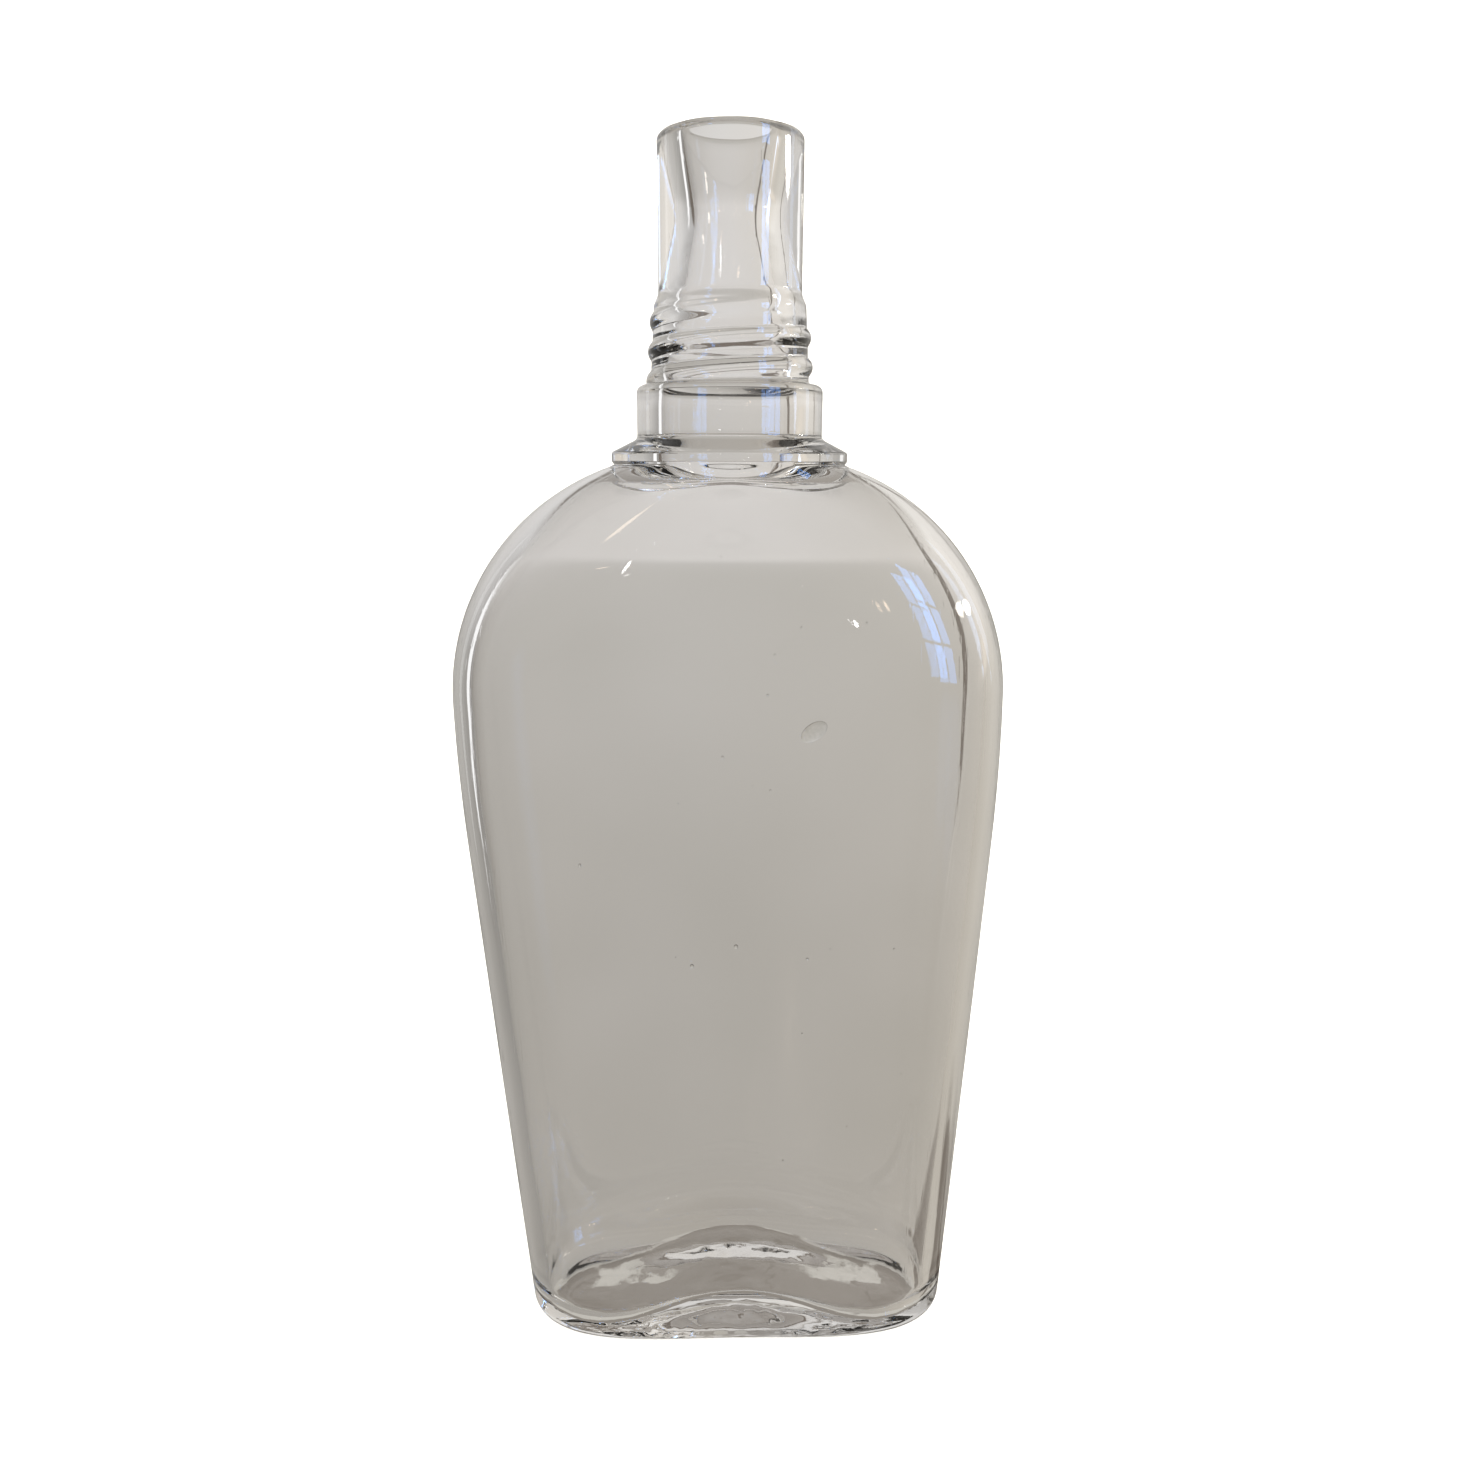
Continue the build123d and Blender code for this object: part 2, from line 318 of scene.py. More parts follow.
def rounded_path(corners):
    """A line through (radius, level, round, spacing) corners, with an arc in every corner.

    Each arc is the rational quadratic curve whose middle weight is the cosine of half the
    turn, which is an exact circle arc. Spacing is the step on the run after the corner.
    """
    table = np.array(corners)
    places, rounds, spacing = table[:, :2], table[:, 2], table[:, 3]
    runs = np.diff(places, axis=0)
    heading = runs / np.linalg.norm(runs, axis=1)[:, None]
    pieces, start = [places[:1]], places[0]
    for k in range(1, len(places) - 1):
        turn = math.acos(float(np.clip(heading[k - 1] @ heading[k], -1, 1)))
        reach = rounds[k] * math.tan(turn / 2)
        before, after = places[k] - reach * heading[k - 1], places[k] + reach * heading[k]
        steps = max(1, round(float(np.linalg.norm(before - start)) / spacing[k - 1]))
        share = np.linspace(0, 1, steps + 1)[1:, None]
        pieces.append(start + (before - start) * share)
        arc_steps = max(2, math.ceil(turn / math.radians(13)))
        t = np.linspace(0, 1, arc_steps + 1)[1:, None]
        weight = math.cos(turn / 2)
        low, middle, high = (1 - t) ** 2, 2 * weight * t * (1 - t), t**2
        arc = (low * before + middle * places[k] + high * after) / (low + middle + high)
        pieces.append(arc)
        start = after
    steps = max(1, round(float(np.linalg.norm(places[-1] - start)) / spacing[-2]))
    share = np.linspace(0, 1, steps + 1)[1:, None]
    pieces.append(start + (places[-1] - start) * share)
    return np.concatenate(pieces)


def smooth_larger(a, b, width):
    """The larger of two heights, with the crease between them filled in over this width."""
    gap = np.clip(1 - np.abs(a - b) / width, 0, 1)
    return np.maximum(a, b) + width / 4 * gap**2


def threaded(radius, level, neck):
    """Adds the screw ridge to the neck's rows.

    The ridge's centre climbs by one pitch a turn. Its section is a round whose crest leans in
    with height. At both ends it sinks into the root, at its end as t^2 (3 - 2 t).
    """
    turn = column_turns()
    level, root = level[:, None], radius[:, None]
    nearest = np.round((level - neck.ridge_level) / neck.pitch - turn / (2 * np.pi))
    centre = neck.ridge_level + neck.pitch * (nearest + turn / (2 * np.pi))
    gap = np.clip(np.abs(level - centre), 0, neck.ridge_round)
    crest = neck.crest_bottom - math.tan(neck.crest_lean) * (centre - neck.ridge_start)
    fade = np.clip((neck.ridge_end - centre) / (0.62 * neck.pitch), 0, 1)
    fade = fade * fade * (3 - 2 * fade)
    started = np.clip((centre - neck.ridge_start) / (0.3 * neck.pitch) + 1, 0, 1)
    shown = fade * started
    height = (crest - root) * shown - 0.6 * MM * (1 - shown)
    ridge = root + height - neck.ridge_round + np.sqrt(neck.ridge_round**2 - gap**2)
    outside = (root > neck.mouth_radius + 4 * MM) & (level < TUBE_FOOT + 3 * MM)
    return np.where(outside, smooth_larger(root + 0 * ridge, ridge, 0.35 * MM), root)


def neck_surface(body, neck):
    """The neck as rows of circles: flange, skirt, thread, tube, lip and then the bore."""
    mm = MM
    # radius, level, round, spacing
    corners = [
        (FLANGE_RADIUS - RIM_ROUND, FLANGE_FOOT + RIM_ROUND, 0, 0.2 * mm),
        (FLANGE_RADIUS, FLANGE_FOOT + 0.8 * mm, RIM_ROUND, 0.5 * mm),
        (FLANGE_RADIUS, SKIRT_FOOT - 2.3 * mm, 0.5 * mm, 0.9 * mm),
        (SKIRT_RADIUS, SKIRT_FOOT - 0.2 * mm, 1.0 * mm, 0.8 * mm),
        (SKIRT_RADIUS, THREAD_FOOT, 1.1 * mm, 0.3 * mm),
        (neck.root_bottom, THREAD_FOOT + 0.1 * mm, 0.8 * mm, 0.22 * mm),
        (neck.root_top, TUBE_FOOT - 1.8 * mm, 1.5 * mm, 0.3 * mm),
        (TUBE_RADIUS, TUBE_FOOT - 0.2 * mm, 1.5 * mm, 1.1 * mm),
        (TUBE_RADIUS, TOP, neck.lip_round, 0.7 * mm),
        (neck.mouth_radius, TOP, neck.lip_round, 0.8 * mm),
        (neck.throat_radius, TOP - 10.0 * mm, 12 * mm, 0.9 * mm),
        (neck.throat_radius, TOP - 12.5 * mm, 16 * mm, 0.9 * mm),
        (neck.tube_bore, TUBE_FOOT, 60 * mm, 0.9 * mm),
        (neck.neck_bore, THREAD_FOOT + 1 * mm, 30 * mm, 1.1 * mm),
        (neck.neck_bore, body.cavity_top + 0.3 * mm, 0.3 * mm, 0.25 * mm),
        (body.neck_opening, body.cavity_top, 0, 0.3 * mm),
    ]
    path = rounded_path(corners)
    radius = threaded(path[:, 0], path[:, 1], neck)
    turn = column_turns()
    level = np.broadcast_to(path[:, 1:], radius.shape)
    return np.stack([radius * np.cos(turn), radius * np.sin(turn), level], axis=-1)


def inner_shoulder(body, rows=42):
    """The cavity's ceiling, from the neck down to the widest level, at equal turns."""
    radius = body.shoulder_radius - body.side_wall
    last = math.asin((body.cavity_top - SPRING) / radius)
    turn = np.linspace(last, 0, rows, endpoint=False)[1:]
    level = SPRING + radius * np.sin(turn)
    return band(*inner_sizes(level, body), squareness(level, body), level)


def floor_edge(body, turn):
    """The floor's oval edge, the wall's oval above it, and how high the round between them is.

    The floor lies towards the front, so the round is small there and wide at the back.
    """
    foot = np.array([body.floor_low + 4 * MM])
    wall_x, wall_y = oval(*inner_sizes(foot, body), squareness(foot, body), turn)
    edge_x, edge_y = oval(body.floor_length, body.floor_width, 0.9, turn)
    edge_y = edge_y - body.floor_offset
    height = 0.6 * MM + 1.15 * np.hypot(wall_x - edge_x, wall_y - edge_y)
    return wall_x, wall_y, edge_x, edge_y, height


def inner_wall(body, rows=56):
    """The cavity's wall. Each column ends at the top of its own floor round."""
    turn = column_turns()
    wall_x, _, edge_x, _, height = floor_edge(body, turn)
    lowest = floor_level(edge_x, body) + height
    share = np.linspace(0, 1, rows, endpoint=False)[:, None]
    level = SPRING + (lowest - SPRING) * share
    x, y = oval(*inner_sizes(level, body), squareness(level, body), turn)
    return np.stack([x, y, level], axis=-1)


def floor_surface(body, round_rows=14, rows=34):
    """The cavity's floor: a quarter round in from the wall, then ovals that shrink to a point.

    Along the round, the way in goes as 1 - cos(bend) and the way down as sin(bend).
    """
    turn = column_turns()
    _, _, edge_x, edge_y, height = floor_edge(body, turn)
    lowest = floor_level(edge_x, body) + height
    wall_x, wall_y = oval(*inner_sizes(lowest, body), squareness(lowest, body), turn)
    bend = np.linspace(0, np.pi / 2, round_rows, endpoint=False)[:, None]
    inward = 1 - np.cos(bend)
    x, y = wall_x + (edge_x - wall_x) * inward, wall_y + (edge_y - wall_y) * inward
    level = floor_level(edge_x, body) + height * (1 - np.sin(bend))
    rounded = np.stack([x, y, level], -1)
    share = np.linspace(1, 0.015, rows)[:, None]
    x, y = edge_x * share, (edge_y + body.floor_offset) * share - body.floor_offset
    return np.concatenate([rounded, np.stack([x, y, floor_level(x, body)], -1)])


def drift(points, cell, seed):
    """Smooth random height from -1 to 1 in space.

    Random values stand at the corners of cubes of this size, and the curve
    6t^5 - 15t^4 + 10t^3 along each side blends the eight around a point.
    """
    table = np.random.default_rng(seed).uniform(-1, 1, (64, 64, 64))
    place = points / cell + 7.31
    low = np.floor(place).astype(int)
    t = place - low
    t = t**3 * (6 * t**2 - 15 * t + 10)
    total = np.zeros(points.shape[:-1])
    for corner in itertools.product((0, 1), repeat=3):
        weight = np.prod(np.where(corner, t, 1 - t), axis=-1)
        x, y, z = np.moveaxis((low + corner) % 64, -1, 0)
        total += weight * table[x, y, z]
    return total


def outward(grid):
    """Unit normals of a grid that closes round its columns: column step cross row step."""
    round_step = np.roll(grid, -1, axis=1) - np.roll(grid, 1, axis=1)
    row_step = np.gradient(grid, axis=0)
    normal = np.cross(round_step, row_step)
    return normal / np.maximum(np.linalg.norm(normal, axis=-1), 1e-12)[..., None]


def closed_faces(rows, columns):
    """Quads of a grid that closes round its columns, and a fan to a pole at each end.

    Vertex 0 is the first pole, the last vertex is the other, and the rows lie between.
    """
    i, j = np.meshgrid(np.arange(rows - 1), np.arange(columns), indexing="ij")
    here, beside = 1 + i * columns + j, 1 + i * columns + (j + 1) % columns
    quads = np.stack([here, beside, beside + columns, here + columns], -1).reshape(-1, 4)
    j = np.arange(columns)
    first, end, start = 1 + j, rows * columns + 1, 1 + (rows - 1) * columns
    near = np.stack([0 * j, 1 + (j + 1) % columns, first], -1)
    far = np.stack([start + j, start + (j + 1) % columns, 0 * j + end], -1)
    return quads.tolist() + near.tolist() + far.tolist()


def add_mesh(name, points, faces, material, uvs=None):
    """A smooth mesh object at the origin from arrays of points and lists of faces."""
    mesh = bpy.data.meshes.new(name)
    mesh.from_pydata(np.asarray(points).reshape(-1, 3).tolist(), [], faces)
    if uvs is not None:
        layer = mesh.uv_layers.new(name="UVMap")
        corners = np.empty(len(mesh.loops), dtype=np.int32)
        mesh.loops.foreach_get("vertex_index", corners)
        layer.data.foreach_set("uv", np.asarray(uvs).reshape(-1, 2)[corners].ravel())
    mesh.validate()
    mesh.update()
    mesh.shade_smooth()
    mesh.materials.append(material)
    piece = bpy.data.objects.new(name, mesh)
    bpy.context.scene.collection.objects.link(piece)
    return piece


def drifted(points, body):
    """Moves the foot to one side, less and less up to the shoulder: x + drift (1 - z / spring)."""
    share = np.clip(1 - points[..., 2] / SPRING, 0, 1)
    return points + (share * body.foot_drift)[..., None] * (1, 0, 0)


def flask_grid(body, neck, look):
    """The whole glass surface, from under the foot, up the outside and down the inside.

    Three kinds of unevenness lift it along its normal: slow waves in the faces, upright
    flutes in the drawn neck, and a rough relief under the foot and on the floor.
    """
    parts = [
        # rows, slow wave, fine relief
        (underside(body), 0, look.dish_relief),
        (heel(body), look.outer_wave, 0),
        (outer_wall(body), look.outer_wave, 0),
        (outer_shoulder(body), look.outer_wave, 0),
        (neck_surface(body, neck), 0.06 * MM, 0),
        (inner_shoulder(body), look.face_wave, 0),
        (inner_wall(body), look.face_wave, 0),
        (floor_surface(body), 0.12 * MM, 0.06 * MM),
    ]
    grid = np.concatenate([part[0] for part in parts])
    counts = [len(part[0]) for part in parts]
    slow, fine = (np.repeat([part[k] for part in parts], counts).astype(float) for k in (1, 2))
    row, foot, first = np.arange(len(grid)), counts[0], sum(counts[:4])
    # the bore is the part of the neck inside the lip
    in_neck = (row >= first) & (row < first + counts[4])
    bore = in_neck & (np.hypot(grid[:, 0, 0], grid[:, 0, 1]) < neck.neck_bore + 0.1 * MM)
    flute = np.where(bore, BORE_FLUTE, np.where(in_neck, TUBE_FLUTE, 0.0))
    # the relief belongs to the dish alone, and the foot's ring stays level
    fine[(row >= foot * body.dish_share - 2) & (row < foot)] = 0
    ease = np.hanning(9) / np.hanning(9).sum()
    slow, flute, fine = (
        np.convolve(kind, ease, mode="same")[:, None] for kind in (slow, flute, fine)
    )
    fine[foot - 4:foot + 4] = 0
    waves = 0.65 * drift(grid, 27 * MM, 3) + 0.35 * drift(grid, 13 * MM, 4)
    streaks = drift(grid * (1, 1, 0.16), 4.5 * MM, 5)
    flat = grid * (1, 1, 0.2)
    relief = drift(flat, 2.1 * MM, 6) + 0.5 * drift(flat, 1.1 * MM, 7)
    lift = slow * waves + flute * streaks + fine * relief
    points = drifted(grid + outward(grid) * lift[..., None], body)
    points[..., 2] = np.maximum(points[..., 2], 0)
    return points


# ---------------------------------------------------------------- materials

def add_node(tree, kind, values=None, links=None, stops=None, **settings):
    """Adds a node, gives its sockets values or links, its ramp its stops, and its settings."""
    node = tree.nodes.new(kind)
    for name, value in settings.items():
        setattr(node, name, value)
    for socket, value in (values or {}).items():
        node.inputs[socket].default_value = value
    for socket, source in (links or {}).items():
        tree.links.new(source, node.inputs[socket])
    if stops:
        ramp = node.color_ramp.elements
        while len(ramp) < len(stops):
            ramp.new(0.5)
        for element, (place, shade) in zip(ramp, stops):
            element.position = place
            element.color = (*shade, 1.0)
    return node


def new_material(name):
    material = bpy.data.materials.new(name)
    material.use_nodes = True
    material.node_tree.nodes.clear()
    return material, material.node_tree


def show(tree, shader):
    """Ends the tree: this shader is the surface."""
    add_node(tree, "ShaderNodeOutputMaterial", links={"Surface": shader.outputs[0]})


def uv_place(tree):
    """The piece's own UV, and its distance from the middle of the square, (0.5, 0.5)."""
    uv = add_node(tree, "ShaderNodeUVMap", uv_map="UVMap").outputs["UV"]
    centred = add_node(tree, "ShaderNodeVectorMath", {1: (0.5, 0.5, 0.0)}, {0: uv},
                       operation="SUBTRACT")
    away = add_node(tree, "ShaderNodeVectorMath", links={0: centred.outputs[0]},
                    operation="LENGTH")
    return uv, away.outputs["Value"]


def grey(value):
    return (value, value, value)


def flask_glass_material(look):
    """Soda-lime glass, pressed in a mould and fire-polished.

    Clear and very smooth, with a trace of warm grey, faint smears, a shallow orange peel
    left by the mould, and hairline scratches from handling. Lamps pass through its shadow.
    """
    material, tree = new_material("soda_lime_glass_fire_polished")
    place = add_node(tree, "ShaderNodeTexCoord").outputs["Object"]
    cloud = add_node(tree, "ShaderNodeTexNoise", {"Scale": 1 / (32 * MM), "Detail": 1.0},
                     {"Vector": place})
    tint = add_node(tree, "ShaderNodeValToRGB", links={"Fac": cloud.outputs["Fac"]},
                    stops=[(0.3, look.tint), (0.7, look.tint_thin)])
    # finger smears, 14 mm across: mostly none, dull only at their thickest
    smears = add_node(tree, "ShaderNodeTexNoise",
                      {"Scale": 1 / (14 * MM), "Detail": 3.0, "Distortion": 0.6},
                      {"Vector": place})
    dull = add_node(tree, "ShaderNodeValToRGB", links={"Fac": smears.outputs["Fac"]},
                    stops=[(0.58, grey(0.0)), (0.82, grey(look.smear))])
    # peel: 2.2 mm cells, 1.2 micrometres high
    peel = add_node(tree, "ShaderNodeTexNoise", {"Scale": 1 / (2.2 * MM), "Detail": 1.0},
                    {"Vector": place})
    peel_bump = add_node(tree, "ShaderNodeBump", {"Strength": 1.0, "Distance": 0.0012 * MM},
                         {"Height": peel.outputs["Fac"]})
    # hairlines: 0.7 mm cells stretched along Z, of which only the peaks are lines
    slant = add_node(tree, "ShaderNodeMapping",
                     {"Rotation": (0.3, 0.2, 0.5), "Scale": (1.0, 1.0, 0.06)},
                     {"Vector": place})
    lines = add_node(tree, "ShaderNodeTexNoise", {"Scale": 1 / (0.7 * MM), "Detail": 0.0},
                     {"Vector": slant.outputs["Vector"]})
    hair = add_node(tree, "ShaderNodeValToRGB", links={"Fac": lines.outputs["Fac"]},
                    stops=[(0.70, grey(0.0)), (0.76, grey(1.0))])
    bump = add_node(tree, "ShaderNodeBump", {"Strength": 1.0, "Distance": 0.003 * MM},
                    {"Height": hair.outputs["Color"], "Normal": peel_bump.outputs["Normal"]})
    glass = add_node(tree, "ShaderNodeBsdfPrincipled",
                     {"Transmission Weight": 1.0, "IOR": look.ior},
                     {"Base Color": tint.outputs["Color"], "Roughness": dull.outputs["Color"],
                      "Normal": bump.outputs["Normal"]})
    finish_glass(tree, glass, (0.93, 0.935, 0.93))
    return material


def finish_glass(tree, glass, shade):
    """Lets lamps shine through the glass onto the floor, as clear glass does."""
    ray = add_node(tree, "ShaderNodeLightPath")
    clear = add_node(tree, "ShaderNodeBsdfTransparent", {"Color": (*shade, 1.0)})
    mix = add_node(tree, "ShaderNodeMixShader",
                   links={0: ray.outputs["Is Shadow Ray"], 1: glass.outputs[0],
                          2: clear.outputs[0]})
    show(tree, mix)


def bubble_material():
    """Air trapped in the glass: a round bright-edged speck, slightly milky inside."""
    material, tree = new_material("trapped_air_in_glass")
    place = add_node(tree, "ShaderNodeTexCoord").outputs["Object"]
    cloud = add_node(tree, "ShaderNodeTexNoise", {"Scale": 1 / (0.6 * MM), "Detail": 1.0},
                     {"Vector": place})
    tint = add_node(tree, "ShaderNodeValToRGB", links={"Fac": cloud.outputs["Fac"]},
                    stops=[(0.3, linear("#F4F5F3")), (0.7, linear("#FFFFFF"))])
    dull = add_node(tree, "ShaderNodeValToRGB", links={"Fac": cloud.outputs["Fac"]},
                    stops=[(0.3, grey(0.0)), (0.8, grey(0.05))])
    glass = add_node(tree, "ShaderNodeBsdfPrincipled",
                     {"Transmission Weight": 1.0, "IOR": BUBBLE_IOR},
                     {"Base Color": tint.outputs["Color"], "Roughness": dull.outputs["Color"]})
    finish_glass(tree, glass, (0.97, 0.97, 0.97))
    return material


def painted_backdrop_material(stage):
    """Matt emulsion paint, rolled on: near white, with a faint roller texture."""
    material, tree = new_material("matt_emulsion_rolled")
    place = add_node(tree, "ShaderNodeTexCoord").outputs["Object"]
    cloud = add_node(tree, "ShaderNodeTexNoise", {"Scale": 1 / (120 * MM), "Detail": 2.0},
                     {"Vector": place})
    paler = tuple(min(1.0, c * 1.02) for c in stage.floor)
    tint = add_node(tree, "ShaderNodeValToRGB", links={"Fac": cloud.outputs["Fac"]},
                    stops=[(0.3, tuple(stage.floor)), (0.7, paler)])
    nap = add_node(tree, "ShaderNodeTexNoise", {"Scale": 1 / (1.5 * MM), "Detail": 2.0},
                   {"Vector": place})
    bump = add_node(tree, "ShaderNodeBump", {"Strength": 0.3, "Distance": 0.05 * MM},
                    {"Height": nap.outputs["Fac"]})
    paint = add_node(tree, "ShaderNodeBsdfPrincipled", {"Roughness": 0.9},
                     {"Base Color": tint.outputs["Color"], "Normal": bump.outputs["Normal"]})
    show(tree, paint)
    return material


def patch_material(name, shade, strength, edge):
    """A light or dark thing in the room, solid in its middle and fading over its edge."""
    material, tree = new_material(name)
    _, away = uv_place(tree)
    fade = add_node(tree, "ShaderNodeMapRange",
                    {"From Min": 0.5 - edge, "From Max": 0.5, "To Min": 1.0, "To Max": 0.0},
                    {"Value": away}, interpolation_type="SMOOTHSTEP")
    glow = add_node(tree, "ShaderNodeEmission", {"Color": (*shade, 1.0), "Strength": strength})
    clear = add_node(tree, "ShaderNodeBsdfTransparent")
    both = add_node(tree, "ShaderNodeMixShader",
                    links={0: fade.outputs["Result"], 1: clear.outputs[0], 2: glow.outputs[0]})
    show(tree, both)
    return material


def window_material(top, foot):
    """Daylight in a window: sky blue, brightest above."""
    material, tree = new_material("daylight_window")
    uv = add_node(tree, "ShaderNodeUVMap", uv_map="UVMap").outputs["UV"]
    height = add_node(tree, "ShaderNodeSeparateXYZ", links={0: uv}).outputs["Y"]
    fade = add_node(tree, "ShaderNodeMapRange", {"To Min": foot, "To Max": top},
                    {"Value": height}, interpolation_type="SMOOTHSTEP")
    glow = add_node(tree, "ShaderNodeEmission", {"Color": (*linear("#86B6FF"), 1.0)},
                    {"Strength": fade.outputs["Result"]})
    show(tree, glow)
    return material


def table_painted_shade_material():
    """A glowing card that shows the table in the flask's own shade: painted shade.

    Painted light, standing in for light that the glass gathers, makes two ragged patches, and more
    is painted in round the edge.
    """
    material, tree = new_material("table_painted_shade")
    uv, away = uv_place(tree)
    place = add_node(tree, "ShaderNodeTexCoord").outputs["Object"]
    ragged = add_node(tree, "ShaderNodeTexNoise",
                      {"Scale": 1 / (5.5 * MM), "Detail": 6.0, "Roughness": 0.62},
                      {"Vector": place})
    # painted light: two lobes side by side, both behind the middle, and painted light round the
    # foot's edge
    axes = add_node(tree, "ShaderNodeSeparateXYZ", links={0: uv}).outputs
    across = add_node(tree, "ShaderNodeValToRGB", links={"Fac": axes["X"]}, stops=[
        (0.08, grey(0.0)), (0.17, grey(0.45)), (0.34, grey(0.40)), (0.44, grey(0.10)),
        (0.58, grey(0.16)), (0.68, grey(0.47)), (0.84, grey(0.48)), (0.94, grey(0.0)),
    ])
    deep = add_node(tree, "ShaderNodeValToRGB", links={"Fac": axes["Y"]}, stops=[
        (0.50, grey(0.0)), (0.58, grey(0.50)), (0.76, grey(0.48)), (0.86, grey(0.1)),
    ])
    painted_light_lobes = add_node(tree, "ShaderNodeMath", links={0: across.outputs[0], 1: deep.outputs[0]},
                     operation="MINIMUM")
    # painted light round the foot's edge
    rim = add_node(tree, "ShaderNodeMapRange",
                   {"From Min": 0.45, "From Max": 0.49, "To Min": 0.0, "To Max": 0.55},
                   {"Value": away})
    painted_light = add_node(tree, "ShaderNodeMath", links={0: painted_light_lobes.outputs[0], 1: rim.outputs[0]},
                   operation="MAXIMUM")
    total = add_node(tree, "ShaderNodeMath",
                     links={0: ragged.outputs["Fac"], 1: painted_light.outputs[0]}, operation="ADD")
    # the card's colour: painted table shade, lifted to painted light in the lobes and round the
    # edge
    shade = add_node(tree, "ShaderNodeValToRGB", links={"Fac": total.outputs[0]}, stops=[
        (0.0, linear("#8A847C")), (0.88, linear("#8F8981")), (0.96, linear("#C2BFB7")),
        (1.0, linear("#C8C5BD")),
    ])
    glow = add_node(tree, "ShaderNodeEmission", links={"Color": shade.outputs["Color"]})
    show(tree, glow)
    return material


# ---------------------------------------------------------------- the pieces

def face_point(x, level, depth, body):
    """Points in the front wall at this depth under its outer face, and the wall's half size.

    The oval's turn is found from x by eight rounds of cos t = x / (a push(t)).
    """
    half_width = side_line(level, body) - shoulder_drop(level, body.shoulder_radius)
    square, turn = squareness(level, body), -np.arccos(np.clip(x / half_width, -1, 1))
    for _ in range(8):
        reach, _ = oval(half_width, 1.0, square, turn)
        share = x * np.cos(turn) / np.where(reach == 0, 1, reach)
        turn = -np.arccos(np.clip(share, -1, 1))
    _, y = oval(half_width, face_line(level, body), square, turn)
    return drifted(np.stack([x, y + depth, level], axis=-1), body)


def beads(centres, half_sizes, tilt, rows=5, columns=10):
    """Small closed ellipsoids: (a cos p cos q, b cos p sin q, c sin p), tilted in the wall."""
    p = np.linspace(-np.pi / 2, np.pi / 2, rows + 2)
    q = np.linspace(0, 2 * np.pi, columns, endpoint=False)
    p_ring, q_ring = np.meshgrid(p[1:-1], q, indexing="ij")
    ring = np.stack([np.cos(p_ring) * np.cos(q_ring), np.cos(p_ring) * np.sin(q_ring),
                     np.sin(p_ring)], -1).reshape(-1, 3)
    ball = np.concatenate([[(0, 0, -1)], ring, [(0, 0, 1)]])
    points = ball[None] * half_sizes[:, None, :]
    c, s = np.cos(tilt)[:, None], np.sin(tilt)[:, None]
    x, z = points[..., 0] * c + points[..., 2] * s, points[..., 2] * c - points[..., 0] * s
    points = np.stack([x, points[..., 1], z], -1) + centres[:, None, :]
    one = closed_faces(rows, columns)
    faces = [[corner + k * len(ball) for corner in face]
             for k in range(len(centres)) for face in one]
    return points, faces


def hand_over(piece, *nodes):
    """Every glass piece rides with the flask, and the parts that it stands for are hidden."""
    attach(piece, "root")
    if nodes:
        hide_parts(*nodes)


class FLASK_OT_glass(bpy.types.Operator):
    """Make the flask itself, one closed glass surface from foot to mouth"""

    bl_idname = "flask.glass"
    bl_label = "Glass"

    def execute(self, context):
        scene = context.scene
        grid = flask_grid(scene.flask_body, scene.flask_neck, scene.flask_look)
        first = grid[0].mean(axis=0)[None]
        last = grid[-1].mean(axis=0)[None]
        points = np.concatenate([first, grid.reshape(-1, 3), last])
        piece = add_mesh("flask_glass", points, closed_faces(*grid.shape[:2]),
                         flask_glass_material(scene.flask_look))
        if not piece.data.polygons:
            raise RuntimeError("the glass surface came out empty")
        hand_over(piece, *GLASS_NODES)
        return {"FINISHED"}


class FLASK_OT_seeds(bpy.types.Operator):
    """Make the seeds, tiny air bubbles in the front and back walls"""

    bl_idname = "flask.seeds"
    bl_label = "Seeds"

    def execute(self, context):
        body, look = context.scene.flask_body, context.scene.flask_look
        # the larger seeds: x, level, half size, in millimetres
        seen = np.array([
            (-6.8, 73.6, 0.34), (0.3, 76.9, 0.36), (11.7, 74.7, 0.24), (-24.0, 90.6, 0.24),
            (-1.4, 108.2, 0.20), (5.5, 117.9, 0.20), (25.7, 76.0, 0.18), (15.4, 76.4, 0.14),
        ]) * MM
        rng = np.random.default_rng(11)
        x = rng.uniform(-32, 32, look.seed_count) * MM
        level = rng.uniform(20, 140, look.seed_count) * MM
        sizes = look.seed_size * rng.uniform(0.3, 0.8, look.seed_count)
        keep = np.abs(x) < 34 * MM - np.clip(level - 110 * MM, 0, None) * 0.6
        x, level, sizes = x[keep], level[keep], sizes[keep]
        x, level = np.concatenate([seen[:, 0], x]), np.concatenate([seen[:, 1], level])
        sizes = np.concatenate([seen[:, 2], sizes])
        centres = face_point(x, level, 0.9 * MM, body)
        behind = (np.arange(len(x)) >= len(seen)) & (np.arange(len(x)) % 3 == 0)
        centres[behind, 1] *= -1
        half_sizes = np.stack([sizes, 0.7 * sizes, sizes * rng.uniform(1.0, 1.5, len(x))], -1)
        points, faces = beads(centres, half_sizes, rng.uniform(-0.4, 0.4, len(x)))
        piece = add_mesh("seeds", points, faces, bubble_material())
        hand_over(piece)
        return {"FINISHED"}


class FLASK_OT_blister(bpy.types.Operator):
    """Make the flat oval blister in the front wall"""

    bl_idname = "flask.blister"
    bl_label = "Blister"

    def execute(self, context):
        body, look = context.scene.flask_body, context.scene.flask_look
        place = face_point(np.array([12.6 * MM]), np.array([112.2 * MM]), 0.7 * MM, body)
        half_sizes = np.array([(1.35, 0.22, 2.25)]) * MM
        points, faces = beads(place, half_sizes, np.array([0.95]), rows=15, columns=36)
        piece = add_mesh("blister", points, faces, bubble_material())
        hand_over(piece)
        return {"FINISHED"}


# ---------------------------------------------------------------- the stage

